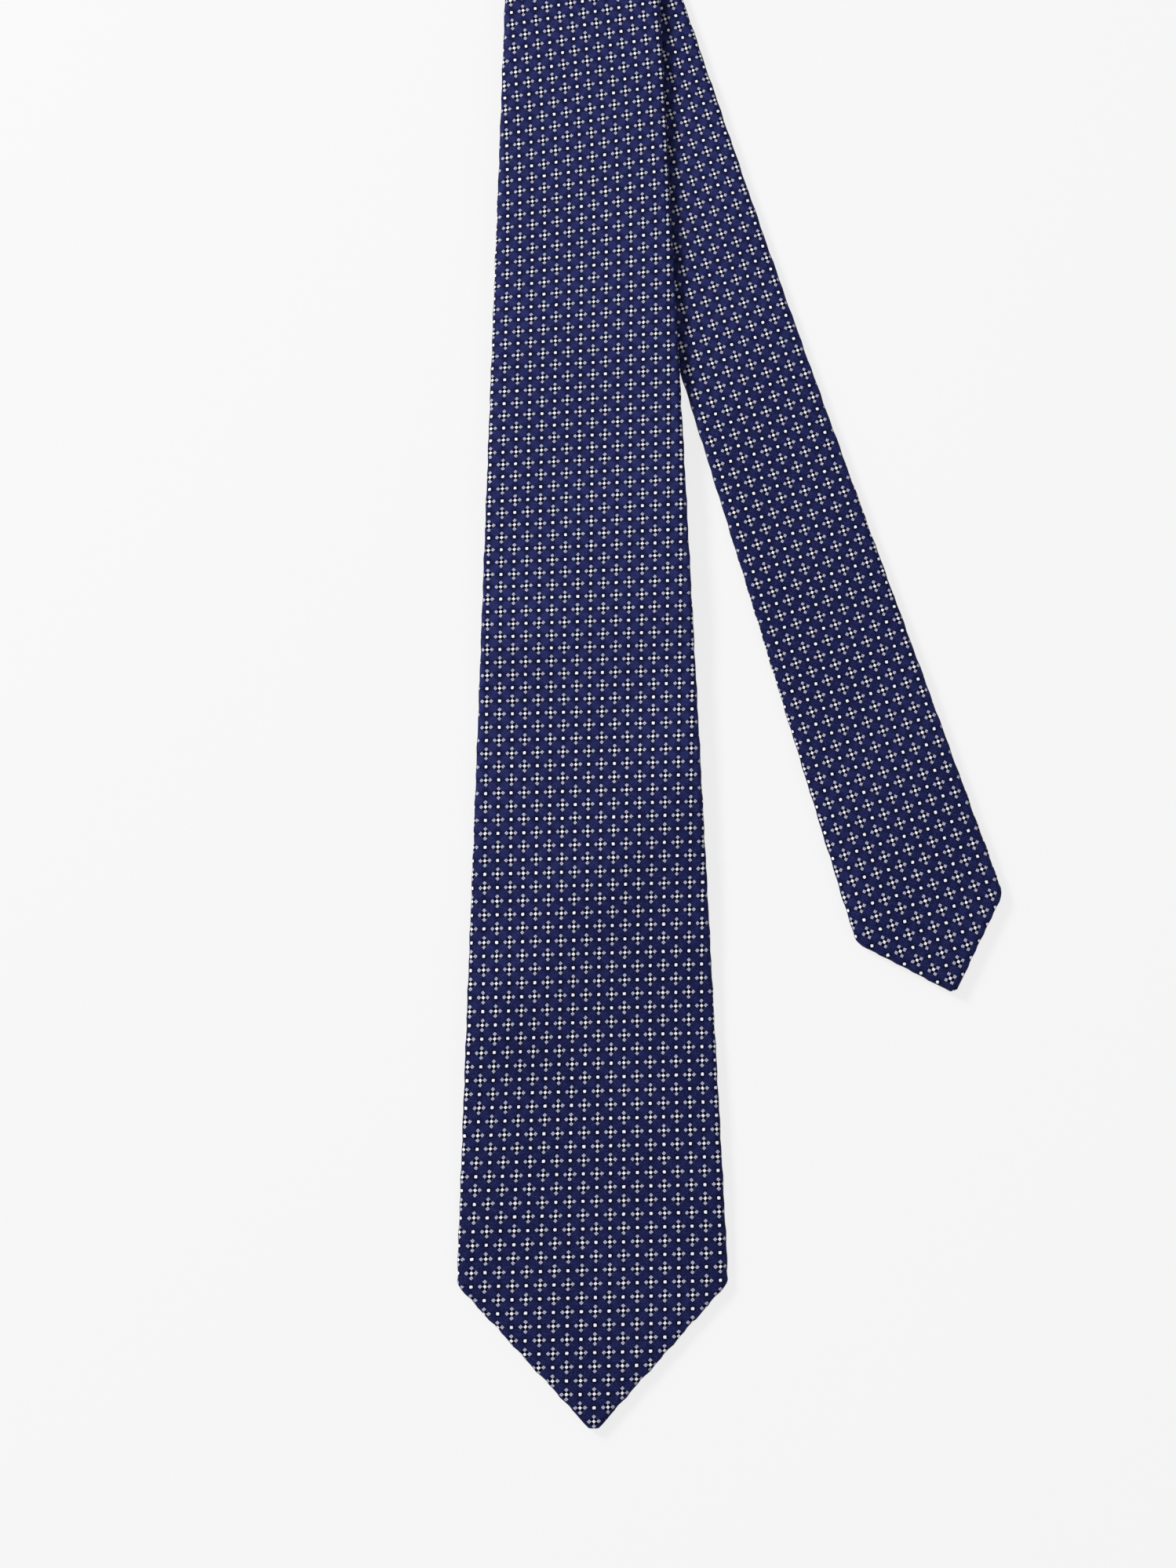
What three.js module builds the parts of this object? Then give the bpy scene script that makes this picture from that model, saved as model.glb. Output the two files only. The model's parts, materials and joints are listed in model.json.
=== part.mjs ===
// A necktie of bias-cut silk, laid flat as if round a collar: the wide blade on top, the neck run folded
// behind it at two soft diagonal folds, and the tail fanning out from under the blade.
// Every cloth piece is drawn on the straight, unfolded tie and then laid out by the two folds.
// Millimetres, +Z up. The tie lies on z = 0, with its origin under the middle of its bounding box.
import * as THREE from "three";

const { lerp, degToRad, clamp, smoothstep } = THREE.MathUtils;

// --- Sizes of the finished tie -------------------------------------------------------------------
const tieLength = 1480; // wide tip to narrow tip, along the middle of the cloth
const bladeWidth = 75; // widest place of the blade
const tailWidth = 42.5; // widest place of the tail
const neckWidth = 32;
const bladeTaper = 0.0924; // width lost per millimetre above the blade's corners
const tailTaper = 0.0557;
const taperBlend = 3; // how softly a taper runs out into the neck
const bladePoint = { halfWidth: 1.3, slope: 0.905 }; // blunt end, and half-width gained per millimetre
const tailPoint = { halfWidth: 0.9, slope: 0.97 };
const cornerBlend = 0.8; // rounding of the corners beside a point

// --- Cloth, in layers ----------------------------------------------------------------------------
const silk = 0.35;
const interliningThickness = 1.3;
const tippingThickness = 0.2;
const gap = 0.2; // air between one layer and the next
const endGap = 0.3; // between two pieces that meet end to end
const lap = 3; // each back flap passes the centre line by this much
const lapMargin = 1.5; // the right flap stays up this far beyond the left flap's edge
const lapSlope = 3.5; // width of the step where the right flap comes down again
const pointInset = 4; // interlining and tipping stop this far inside a point
const hem = 8.5; // turned-in silk beside a point, measured across the tie
const bladeOpening = 50; // from the blade's corners up to where the back flaps meet
const tailOpening = 35;

// --- How the tie is laid out ---------------------------------------------------------------------
const legAngle = 18.14; // between the blade's centre line and the tail's, in degrees
const bladeLean = 0.46; // of the blade's centre line from +Y, in degrees
const bladeLeg = 734.8; // wide tip to the right neck fold
const neckRun = 100.8; // between the two neck folds
const rightFoldRadius = 3.8; // to the middle of the cloth
const leftFoldRadius = 3.0;
const bladeBend = 560; // where the blade lifts
const bladeSeam = 620; // diagonal seams of the neck panel
const tailSeam = 1000;
const tailBend = 1040; // where the tail swings
const bendAbove = 0.4; // the blade's lift line lies this far above its front
const tailRise = 150; // length of the tail's end that lies a thread's thickness higher
const tieBarPlace = 340; // from the wide tip
const seamSlant = 1; // 45 degrees
const swingClearance = 0.19; // each cloth end at the swing is cut back by this share of its half-width

// --- Small pieces --------------------------------------------------------------------------------
const keeper = { from: 160, width: 12, halfSpan: 27, thickness: 0.7, slack: 0.9 };
const label = { from: 186, height: 20, halfWidth: 23, thickness: 0.2 };
const careLabel = { fromSeamEnd: 75, height: 22, inner: 5, outer: 17, thickness: 0.2 };
const thread = { radius: 0.18, across: 4.2 };
const tack = { length: 1.6, halfWidth: 4, thickness: 0.3, above: 4 };
const stitchBar = { width: 1, thickness: 0.22, inset: 1.2 };

// Heights in the stack, from the middle of the interlining. Positive is towards the front.
const frontMid = interliningThickness / 2 + gap + silk / 2;
const frontFace = frontMid + silk / 2;
const tippingMid = -(interliningThickness / 2 + gap + tippingThickness / 2);
const flapMid = tippingMid - tippingThickness / 2 - gap - silk / 2;
const flapFace = flapMid - silk / 2;
const lapMid = flapMid - silk - gap;
const lapFace = lapMid - silk / 2;
const edgeCentre = (frontMid + flapMid) / 2;
const edgeRadius = (frontMid - flapMid) / 2;
const insideMargin = edgeRadius + 0.4; // what lies inside the silk stays this far from its edge

// Heights of the middle of the interlining above the surface.
const tailHeight = -lapFace;
const tackLift = gap + tack.thickness; // room for a tack under the cloth
const runHeight = tailHeight + 2 * leftFoldRadius;
const foldHeight = runHeight + 2 * rightFoldRadius;
const crossingHeight = tailHeight + tackLift + frontFace + gap - lapFace;
const keeperHeight = -lapFace + keeper.slack + keeper.thickness + 0.05;

// --- Outline -------------------------------------------------------------------------------------
const softMax = (a, b, k) => (a + b + Math.hypot(a - b, k)) / 2;
const softMin = (a, b, k) => (a + b - Math.hypot(a - b, k)) / 2;
const fromTail = (u) => tieLength - u;
const pointDepth = (width, point) => (width / 2 - point.halfWidth) / point.slope;
const bladeDepth = pointDepth(bladeWidth, bladePoint); // from the wide tip to the corners
const tailDepth = pointDepth(tailWidth, tailPoint);

function halfWidth(u) {
  const blade = bladeWidth - bladeTaper * Math.max(u - bladeDepth, 0);
  const tail = tailWidth - tailTaper * Math.max(fromTail(u) - tailDepth, 0);
  const full = softMax(softMax(blade, neckWidth, taperBlend), tail, taperBlend) / 2;
  const widePoint = bladePoint.halfWidth + bladePoint.slope * u;
  const narrowPoint = tailPoint.halfWidth + tailPoint.slope * fromTail(u);
  return softMin(full, Math.min(widePoint, narrowPoint), cornerBlend);
}

// How far a back flap reaches in from the side edge.
function flapReach(u) {
  const half = halfWidth(u);
  const bladeEnd = u < tieLength / 2;
  const fromTip = bladeEnd ? u : fromTail(u);
  const corner = bladeEnd ? bladeDepth : tailDepth;
  const opening = bladeEnd ? bladeOpening : tailOpening;
  const closed = clamp((fromTip - corner) / opening, 0, 1);
  return lerp(Math.min(hem, half - 0.3), half + lap, closed);
}

// --- Laying out ----------------------------------------------------------------------------------
// A fold wraps the straight tie round a cylinder whose axis crosses it at a slant.
// side +1 folds towards the front, -1 towards the back.
const foldSlant = degToRad(45 + legAngle / 4);
const rightFold = {
  at: bladeLeg,
  radius: rightFoldRadius,
  side: -1,
  axis: new THREE.Vector3(-Math.sin(foldSlant), Math.cos(foldSlant), 0),
};
const leftFold = {
  at: bladeLeg + neckRun,
  radius: leftFoldRadius,
  side: 1,
  axis: new THREE.Vector3(Math.sin(foldSlant), Math.cos(foldSlant), 0),
};
for (const fold of [rightFold, leftFold]) {
  fold.across = new THREE.Vector3(fold.axis.y, -fold.axis.x, 0);
  if (fold.across.y < 0) fold.across.negate();
  fold.skew = fold.axis.y / fold.axis.x;
  fold.length = (Math.PI * fold.radius) / fold.across.y; // along the tie
}

function wrap(point, fold) {
  const centre = new THREE.Vector3(0, fold.at, 0);
  const local = point.clone().sub(centre);
  const past = local.dot(fold.across);
  const along = local.dot(fold.axis);
  const angle = clamp(past / fold.radius, 0, Math.PI);
  const reach = fold.radius - fold.side * point.z;
  let out = reach * Math.sin(angle);
  if (past < 0) out += past;
  if (angle === Math.PI) out -= past - Math.PI * fold.radius;
  return centre
    .addScaledVector(fold.axis, along)
    .addScaledVector(fold.across, out)
    .setZ(fold.side * (fold.radius - reach * Math.cos(angle)));
}

// Where the tail passes under the blade: the middle of the crossing, and where their edges meet.
const crossing = bladeLeg - neckRun / (2 * Math.sin(degToRad(legAngle / 2)));
const bladeOverTail = crossing - (halfWidth(crossing) + neckWidth / 2) / Math.sin(degToRad(legAngle));

// Height of the blade's cloth above the surface along its length: it lies down at the tip, passes over
// the keeper and the tail, and climbs to the right neck fold.
function bladeHeight(u) {
  const keeperTop = keeper.from + keeper.width;
  let z = tailHeight;
  z += tackLift * smoothstep(u, bladeDepth, bladeDepth + bladeOpening - 2);
  z += (keeperHeight - tailHeight - tackLift) * smoothstep(u, keeper.from - 52, keeper.from - 10);
  z += (crossingHeight - keeperHeight) * smoothstep(u, keeperTop + 28, bladeOverTail - 40);
  z += (foldHeight - crossingHeight) * smoothstep(u, crossing + 25, bladeLeg - neckWidth / 2 - 7);
  return z;
}
const tailLift = (u) => tackLift * smoothstep(u, tieLength - tailRise, tieLength - tailRise + 40);

const lean = new THREE.Matrix4().makeRotationZ(degToRad(bladeLean));

// v across the tie, u along it from the wide tip, n out of its front: the point on the laid-out tie.
function layOut(v, u, n) {
  const point = wrap(wrap(new THREE.Vector3(v, u, n), leftFold), rightFold);
  point.z += u < bladeLeg - neckWidth ? bladeHeight(u) : foldHeight + tailLift(u);
  return point.applyMatrix4(lean);
}

// --- Solids --------------------------------------------------------------------------------------
// A station is a line across the tie: at u on the centre line, with a slant, and a chevron that cuts
// the cloth back towards its edges.
const station = (u, slant = 0, chevron = 0) => ({ u, slant, chevron });
const alongAt = (s, v) => s.u + s.slant * v + s.chevron * Math.abs(v);
const curvedStep = 15; // length between stations where the cloth's height changes

// Stations from one to another, no further apart than the step.
function between(from, to, step) {
  const count = Math.max(1, Math.ceil((to.u - from.u) / step));
  return Array.from({ length: count + 1 }, (_, i) =>
    station(
      lerp(from.u, to.u, i / count),
      lerp(from.slant, to.slant, i / count),
      lerp(from.chevron, to.chevron, i / count),
    ),
  );
}

// A sheet with thickness. path(station) gives its middle line as points [v, n, v-normal, n-normal].
function sheetSolid(stations, path, thickness) {
  const paths = stations.map((s) => path(s));
  const columns = paths[0].length - 1;
  const rows = stations.length - 1;
  const geometry = new THREE.BoxGeometry(1, 1, 1, columns, rows, 1);
  const position = geometry.attributes.position;
  for (let i = 0; i < position.count; i++) {
    const column = Math.round((position.getX(i) + 0.5) * columns);
    const row = Math.round((position.getY(i) + 0.5) * rows);
    const out = position.getZ(i) * thickness;
    const [v, n, dv, dn] = paths[row][column];
    const across = v + dv * out;
    const p = layOut(across, alongAt(stations[row], across), n + dn * out);
    position.setXYZ(i, p.x, p.y, p.z);
  }
  geometry.deleteAttribute("uv");
  geometry.computeVertexNormals();
  return geometry;
}

// The middle line of the folded silk: left flap, left edge, front, right edge, right flap.
const edgeSteps = 5;
function edgeArc(side, turn) {
  return Array.from({ length: edgeSteps + 1 }, (_, i) => {
    const angle = side * lerp(Math.PI / 2, -Math.PI / 2, i / edgeSteps);
    const out = side * Math.cos(angle);
    const up = Math.sin(angle);
    return [side * turn + edgeRadius * out, edgeCentre + edgeRadius * up, out, up];
  });
}

function shellPath(s) {
  const half = halfWidth(s.u);
  const turn = half - edgeRadius;
  const free = half - flapReach(s.u); // free edge of the right flap; the left flap's is its mirror image
  const lapEdge = lap + lapMargin;
  const climbed = smoothstep(-free, -12, 2);
  const lapHeight = (v) => lerp(flapMid, lapMid, smoothstep(-v, -lapEdge - lapSlope, -lapEdge));
  const step = [lapEdge + lapSlope, lapEdge].map((v, i) => {
    const across = lerp(lerp(free, turn, (2 - i) / 3), v, climbed);
    return [across, lapHeight(across), 0, -1];
  });
  return [
    [-free, flapMid, 0, -1],
    ...edgeArc(-1, turn),
    ...edgeArc(1, turn),
    ...step,
    [free, lapHeight(free), 0, -1],
  ];
}

// A flat layer across the whole tie.
const flatPath = (inset, height) => (s) => {
  const half = Math.max(halfWidth(s.u) - inset, 0.6);
  return [-half, half].map((v) => [v, height, 0, 1]);
};

// A strip that crosses the back, from points [v, n].
const backStrip = (points) => () => points.map(([v, n]) => [v, n, 0, 1]);

function threadSolid(from, to, v, n) {
  const rows = Math.max(1, Math.ceil((to - from) / curvedStep));
  const geometry = new THREE.CylinderGeometry(thread.radius, thread.radius, 1, 6, rows);
  const position = geometry.attributes.position;
  for (let i = 0; i < position.count; i++) {
    const u = lerp(from, to, position.getY(i) + 0.5);
    const p = layOut(v + position.getX(i), u, n + position.getZ(i));
    position.setXYZ(i, p.x, p.y, p.z);
  }
  geometry.deleteAttribute("uv");
  geometry.computeVertexNormals();
  return geometry;
}

// --- Materials -----------------------------------------------------------------------------------
const material = (color, roughness) => new THREE.MeshStandardMaterial({ color, roughness, metalness: 0 });
const silkMaterial = material(0x2c3060, 0.45);
const interliningMaterial = material(0xd9d3c4, 0.95);
const liningMaterial = material(0x1b1e44, 0.35);
const labelMaterial = material(0x20244a, 0.5);
const careMaterial = material(0xe9e7e2, 0.5);
const threadMaterial = material(0x1c1f48, 0.6);

// --- Where each stretch begins and ends ----------------------------------------------------------
const tie = new THREE.Group();
function add(name, geometry, look) {
  const mesh = new THREE.Mesh(geometry, look);
  mesh.name = name;
  tie.add(mesh);
}

const half = endGap / 2;
const flatStep = 60;
const tipStep = 4.5;
const foldSteps = 9;
const bladeClosed = bladeDepth + bladeOpening; // the back flaps meet here
const tailClosed = tieLength - tailDepth - tailOpening;
const bladeTop = station(bladeBend - half);
const rightTangent = station(rightFold.at - half, rightFold.skew);
const runStart = station(rightFold.at + rightFold.length + half, rightFold.skew);
const runEnd = station(leftFold.at - half, leftFold.skew);
const leftTangent = station(leftFold.at + leftFold.length + half, leftFold.skew);
const swingUpper = station(tailBend - half, 0, -swingClearance);
const swingLower = station(tailBend + half, 0, swingClearance);

// Stations through several places, each with the step that leads up to it.
function through(start, ...legs) {
  const stations = [start];
  for (const [to, step] of legs) stations.push(...between(stations.at(-1), to, step).slice(1));
  return stations;
}
const bladeStations = (from) =>
  through(
    station(from),
    [station(bladeDepth), tipStep],
    [station(bladeClosed + 8), 10],
    [bladeTop, curvedStep],
  );
const tailStations = (to) =>
  through(
    swingLower,
    [station(tieLength - tailRise), flatStep],
    [station(tailClosed - 6), 13],
    [station(tieLength - tailDepth), 8],
    [station(to), tipStep],
  );
const foldStations = (fold) =>
  between(
    station(fold.at + half, fold.skew),
    station(fold.at + fold.length - half, fold.skew),
    fold.length / foldSteps,
  );

// --- Silk envelope and interlining, from the wide tip to the narrow tip --------------------------
// Cloth that crosses a bend is split there, and each roll of a fold is a stretch of its own.
const silkStretches = {
  blade_shell: bladeStations(0),
  blade_shell_top: between(station(bladeBend + half), station(bladeSeam - half, -seamSlant), curvedStep),
  neck_shell_right: between(station(bladeSeam + half, -seamSlant), rightTangent, curvedStep),
  neck_fold_right: foldStations(rightFold),
  neck_shell_run: between(runStart, runEnd, flatStep),
  neck_fold_left: foldStations(leftFold),
  neck_shell_left: between(leftTangent, station(tailSeam - half, seamSlant), flatStep),
  tail_shell_top: between(station(tailSeam + half, seamSlant), swingUpper, flatStep),
  tail_shell: tailStations(tieLength),
};
const interliningStretches = {
  blade_interlining: bladeStations(pointInset),
  interlining_neck_right: between(station(bladeBend + half), rightTangent, curvedStep),
  interlining_fold_right: foldStations(rightFold),
  interlining_run: between(runStart, runEnd, flatStep),
  interlining_fold_left: foldStations(leftFold),
  interlining_neck_left: between(leftTangent, swingUpper, flatStep),
  tail_interlining: tailStations(tieLength - pointInset),
};
for (const [name, stations] of Object.entries(silkStretches)) {
  add(name, sheetSolid(stations, shellPath, silk), silkMaterial);
}
for (const [name, stations] of Object.entries(interliningStretches)) {
  add(name, sheetSolid(stations, flatPath(insideMargin, 0), interliningThickness), interliningMaterial);
}

// --- Lining of each point, its top edge tucked under the back flaps ------------------------------
const tippings = {
  blade_tipping: [pointInset, bladeClosed + 14],
  tail_tipping: [tailClosed - 12, tieLength - pointInset],
};
for (const [name, [from, to]] of Object.entries(tippings)) {
  const stations = between(station(from), station(to), tipStep);
  add(name, sheetSolid(stations, flatPath(insideMargin, tippingMid), tippingThickness), liningMaterial);
}

// --- The slip stitch that closes the back seam, in the pocket beside the left flap's edge --------
const rightFoldStitch = thread.across * rightFold.skew; // how far a fold's slant moves its ends
const leftFoldStitch = thread.across * leftFold.skew;
const stitchRuns = {
  slip_stitch_blade: [bladeClosed + tack.above, bladeBend - half],
  slip_stitch_neck_right: [bladeBend + half, rightFold.at + rightFoldStitch - 1],
  slip_stitch_run: [runStart.u + rightFoldStitch + 1, runEnd.u + leftFoldStitch - 1],
  slip_stitch_neck_left: [leftTangent.u + leftFoldStitch + 1, tailBend - 2],
  slip_stitch_tail: [tailBend + 2, tailClosed - tack.above],
};
for (const [name, [from, to]] of Object.entries(stitchRuns)) {
  add(name, threadSolid(from, to, thread.across, flapMid + 0.05), threadMaterial);
}

// --- Small pieces on the back --------------------------------------------------------------------
// A strip from one place along the tie to another; all of them have square ends.
function addStrip(name, from, to, step, points, thickness, look) {
  add(name, sheetSolid(between(station(from), station(to), step), backStrip(points), thickness), look);
}

// Bar tacks where each back seam ends.
const tackMid = lapFace - gap - tack.thickness / 2;
const tackPoints = [[-tack.halfWidth, tackMid], [tack.halfWidth, tackMid]];
const tacks = {
  blade_bar_tack: bladeClosed + tack.above,
  tail_bar_tack: tailClosed - tack.above - tack.length,
};
for (const [name, from] of Object.entries(tacks)) {
  addStrip(name, from, from + tack.length, tack.length, tackPoints, tack.thickness, threadMaterial);
}

// The keeper: a self-silk band sewn at both ends to the blade's back, slack between them.
const keeperTop = keeper.from + keeper.width;
const keeperEnd = flapFace - gap - keeper.thickness / 2;
const keeperMid = lapFace - keeper.slack - keeper.thickness / 2;
const keeperPoints = [
  [-keeper.halfSpan, keeperEnd],
  [-keeper.halfSpan + 3, keeperEnd],
  [-keeper.halfSpan + 6, keeperMid],
  [keeper.halfSpan - 6, keeperMid],
  [keeper.halfSpan - 3, keeperEnd],
  [keeper.halfSpan, keeperEnd],
];
const keeperStep = keeper.width / 2;
addStrip("keeper_loop", keeper.from, keeperTop, keeperStep, keeperPoints, keeper.thickness, silkMaterial);

// A blank woven label over the back seam.
const labelTop = label.from + label.height;
const labelSide = flapFace - gap - label.thickness / 2;
const labelMid = lapFace - gap - label.thickness / 2;
const labelPoints = [
  [-label.halfWidth, labelSide],
  [-label.halfWidth + 4, labelSide],
  [-9, labelMid],
  [lap + lapMargin + lapSlope + 1, labelMid],
  [label.halfWidth - 4, labelSide],
  [label.halfWidth, labelSide],
];
const labelStep = label.height / 4;
addStrip("blank_label", label.from, labelTop, labelStep, labelPoints, label.thickness, labelMaterial);

// A blank care label beside the tail's seam.
const careFrom = tailClosed - careLabel.fromSeamEnd;
const careTop = careFrom + careLabel.height;
const careMid = flapFace - gap - careLabel.thickness / 2;
const carePoints = [[-careLabel.outer, careMid], [-careLabel.inner, careMid]];
addStrip("care_label", careFrom, careTop, careLabel.height, carePoints, careLabel.thickness, careMaterial);

// Rows of stitches that hold the keeper and the labels, each as one bar of thread on the sewn piece.
const barOn = (mid, thickness) => mid - thickness / 2 - gap / 2 - stitchBar.thickness / 2;
function addStitchBars(piece, from, to, across, mid) {
  for (const [side, sign] of [["left", -1], ["right", 1]]) {
    const middle = sign * (across - stitchBar.inset);
    const points = [-1, 1].map((edge) => [middle + (edge * stitchBar.width) / 2, mid]);
    const step = (to - from) / 2;
    addStrip(`${piece}_${side}`, from + 1, to - 1, step, points, stitchBar.thickness, threadMaterial);
  }
}
const keeperBar = barOn(keeperEnd, keeper.thickness);
const labelBar = barOn(labelSide, label.thickness);
addStitchBars("keeper_tack", keeper.from, keeperTop, keeper.halfSpan, keeperBar);
addStitchBars("label_stitch", label.from, labelTop, label.halfWidth, labelBar);
const careBar = barOn(careMid, careLabel.thickness);
const careStitch = careTop - 2;
const careStitchPoints = [[1 - careLabel.outer, careBar], [-careLabel.inner - 1, careBar]];
addStrip(
  "care_label_stitch",
  careStitch,
  careStitch + stitchBar.width,
  stitchBar.width,
  careStitchPoints,
  stitchBar.thickness,
  threadMaterial,
);

// --- Placing -------------------------------------------------------------------------------------
const box = new THREE.Box3().setFromObject(tie);
const centre = box.getCenter(new THREE.Vector3());
tie.position.set(-centre.x, -centre.y, -box.min.z);

// Reference points and directions in the part's own frame, for its joints and for what it meets.
const placed = (v, u, n) => layOut(v, u, n).add(tie.position);
const direction = (from, to) => to.clone().sub(from).normalize();
// A fold turns about a line that lies outside its roll by half the cloth in the roll, so that the two legs
// lie end to end, with the roll's cloth between them, when the fold is opened flat.
function foldLine(fold, height, radius) {
  const start = new THREE.Vector3(0, fold.at, 0);
  const [point, far] = [start, start.clone().add(fold.axis)].map((p) =>
    wrap(wrap(p, leftFold), rightFold)
      .setZ(height)
      .applyMatrix4(lean)
      .add(tie.position),
  );
  const axis = direction(point, far);
  const outward = new THREE.Vector3(axis.y, -axis.x, 0);
  const clothInRoll = Math.PI * radius;
  return { point: point.addScaledVector(outward, clothInRoll / 2), axis };
}
tie.userData = {
  right_neck_fold: foldLine(rightFold, foldHeight - rightFoldRadius, rightFoldRadius),
  left_neck_fold: foldLine(leftFold, runHeight - leftFoldRadius, leftFoldRadius),
  blade_lift: {
    point: placed(0, bladeBend, frontFace + bendAbove),
    axis: direction(placed(0, bladeBend, 0), placed(1, bladeBend, 0)),
  },
  tail_swing: { point: placed(0, tailBend, 0), axis: new THREE.Vector3(0, 0, 1) },
  wide_tip: { point: placed(0, 0, 0) },
  narrow_tip: { point: placed(0, tieLength, 0) },
  tie_bar_place: { point: placed(0, tieBarPlace, frontFace) },
  underside: { point: placed(0, (tailBend + tailClosed) / 2, lapFace) },
  neck_rail: { point: placed(0, (runStart.u + runEnd.u) / 2, lapFace) },
};

export default tie;
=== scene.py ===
"""A necktie of bias-cut jacquard silk, laid flat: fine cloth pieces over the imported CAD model."""

import json
import math

import bpy
import numpy as np
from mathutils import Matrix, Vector


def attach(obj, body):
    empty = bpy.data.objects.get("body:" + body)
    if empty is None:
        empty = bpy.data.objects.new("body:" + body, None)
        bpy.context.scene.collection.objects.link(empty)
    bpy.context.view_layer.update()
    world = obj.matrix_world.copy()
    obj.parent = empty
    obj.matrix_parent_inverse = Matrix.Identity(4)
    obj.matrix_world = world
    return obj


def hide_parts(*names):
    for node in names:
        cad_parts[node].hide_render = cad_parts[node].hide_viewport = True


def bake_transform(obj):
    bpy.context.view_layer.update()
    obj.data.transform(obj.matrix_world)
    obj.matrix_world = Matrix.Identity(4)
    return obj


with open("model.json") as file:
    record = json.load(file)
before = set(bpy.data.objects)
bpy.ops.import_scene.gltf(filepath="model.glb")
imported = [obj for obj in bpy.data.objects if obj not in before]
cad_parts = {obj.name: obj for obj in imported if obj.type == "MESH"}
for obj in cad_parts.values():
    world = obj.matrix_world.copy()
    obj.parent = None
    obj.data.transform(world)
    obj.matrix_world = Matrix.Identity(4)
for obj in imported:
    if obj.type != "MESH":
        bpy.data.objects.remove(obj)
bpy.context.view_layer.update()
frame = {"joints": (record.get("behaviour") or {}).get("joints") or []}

MM = 0.001
JOINTS = {j["name"]: j for j in frame["joints"]}

# --- Sizes of the tie, in millimetres, as in the part -------------------------------------------
TIE_LENGTH = 1480
BLADE_WIDTH = 75
TAIL_WIDTH = 42.5
NECK_WIDTH = 32
BLADE_TAPER = 0.0924
TAIL_TAPER = 0.0557
TAPER_BLEND = 3
BLADE_POINT = (1.3, 0.905)  # half-width of the blunt end, and what the half-width gains per millimetre
TAIL_POINT = (0.9, 0.97)
CORNER_BLEND = 0.8
SILK = 0.35
INTERLINING = 1.3
TIPPING = 0.2
GAP = 0.2
LAP = 3
LAP_MARGIN = 1.5
LAP_SLOPE = 3.5
POINT_INSET = 4
HEM = 8.5
BLADE_OPENING = 50
TAIL_OPENING = 35
LEG_ANGLE = 18.14
BLADE_LEAN = math.radians(0.46)
BLADE_LEG = 734.8
NECK_RUN = 100.8
RIGHT_FOLD_RADIUS = 3.8
LEFT_FOLD_RADIUS = 3.0
BLADE_BEND = 560
BLADE_SEAM = 620
TAIL_SEAM = 1000
TAIL_BEND = 1040
TAIL_RISE = 150
SEAM_SLANT = 1
KEEPER_FROM = 160
KEEPER_WIDTH = 12
KEEPER_SPAN = 27
KEEPER_THICKNESS = 0.7
KEEPER_SLACK = 0.9
LABEL_FROM = 186
LABEL_HEIGHT = 20
LABEL_SPAN = 23
CARE_FROM = 75
CARE_HEIGHT = 22
CARE_INNER = 5
CARE_OUTER = 17
STITCH_ACROSS = 4.2
THREAD = 0.18
TACK_LENGTH = 1.6
TACK_SPAN = 4
TACK_THICKNESS = 0.3
TACK_ABOVE = 4

# Soft unevenness of the cloth as it lies: heights, and places along the tie
BLADE_RIPPLE = 0.45
BLADE_RIPPLE_RISE = (12, 60)
BLADE_RIPPLE_FALL = (470, 560)
TAIL_RIPPLE = 0.35
TAIL_RIPPLE_RISE = (1180, 1260)
TAIL_RIPPLE_FALL = (1440, 1478)
RIDGE_HEIGHT = 1.3  # a diagonal ridge near the blade's left edge
RIDGE_AT = 150
RIDGE_SLANT = 1.4
RIDGE_SPREAD = 15
RIDGE_RISE = (60, 110)
RIDGE_FALL = (225, 260)
ROLL_HEIGHT = 0.9  # a low roll across the blade above the label
ROLL_AT = 222
ROLL_SLANT = 0.2
ROLL_SPREAD = 11
EDGE_WAVES = ((0.10, 0.84, 0), (0.06, 0.37, 1))  # height, turns per millimetre and phase
HEM_WAVE = 0.16
CROWN = 0.22  # how far the front puffs up between its edges

# Where the blade's height changes, as distances before and after the pieces that lift it
KEEPER_RISE = (52, 10)
KEEPER_FALL = 28
CROSSING_MARGIN = 40
CROSSING_FALL = 25
FOLD_MARGIN = 7
TAIL_RISE_LENGTH = 40

# Heights of the layers from the middle of the interlining, the front positive
FRONT_MID = INTERLINING / 2 + GAP + SILK / 2
FRONT_FACE = FRONT_MID + SILK / 2
TIPPING_MID = -(INTERLINING / 2 + GAP + TIPPING / 2)
FLAP_MID = TIPPING_MID - TIPPING / 2 - GAP - SILK / 2
FLAP_FACE = FLAP_MID - SILK / 2
LAP_MID = FLAP_MID - SILK - GAP
LAP_FACE = LAP_MID - SILK / 2
EDGE_CENTRE = (FRONT_MID + FLAP_MID) / 2
EDGE_RADIUS = (FRONT_MID - FLAP_MID) / 2
INSIDE_MARGIN = EDGE_RADIUS + 0.4  # the interlining and tipping stop this far inside the edge

# Heights of the middle of the interlining above the surface
TAIL_HEIGHT = -LAP_FACE
TACK_LIFT = GAP + TACK_THICKNESS
RUN_HEIGHT = TAIL_HEIGHT + 2 * LEFT_FOLD_RADIUS
FOLD_HEIGHT = RUN_HEIGHT + 2 * RIGHT_FOLD_RADIUS
CROSSING_HEIGHT = TAIL_HEIGHT + TACK_LIFT + FRONT_FACE + GAP - LAP_FACE
KEEPER_HEIGHT = -LAP_FACE + KEEPER_SLACK + KEEPER_THICKNESS + 0.05

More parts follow.
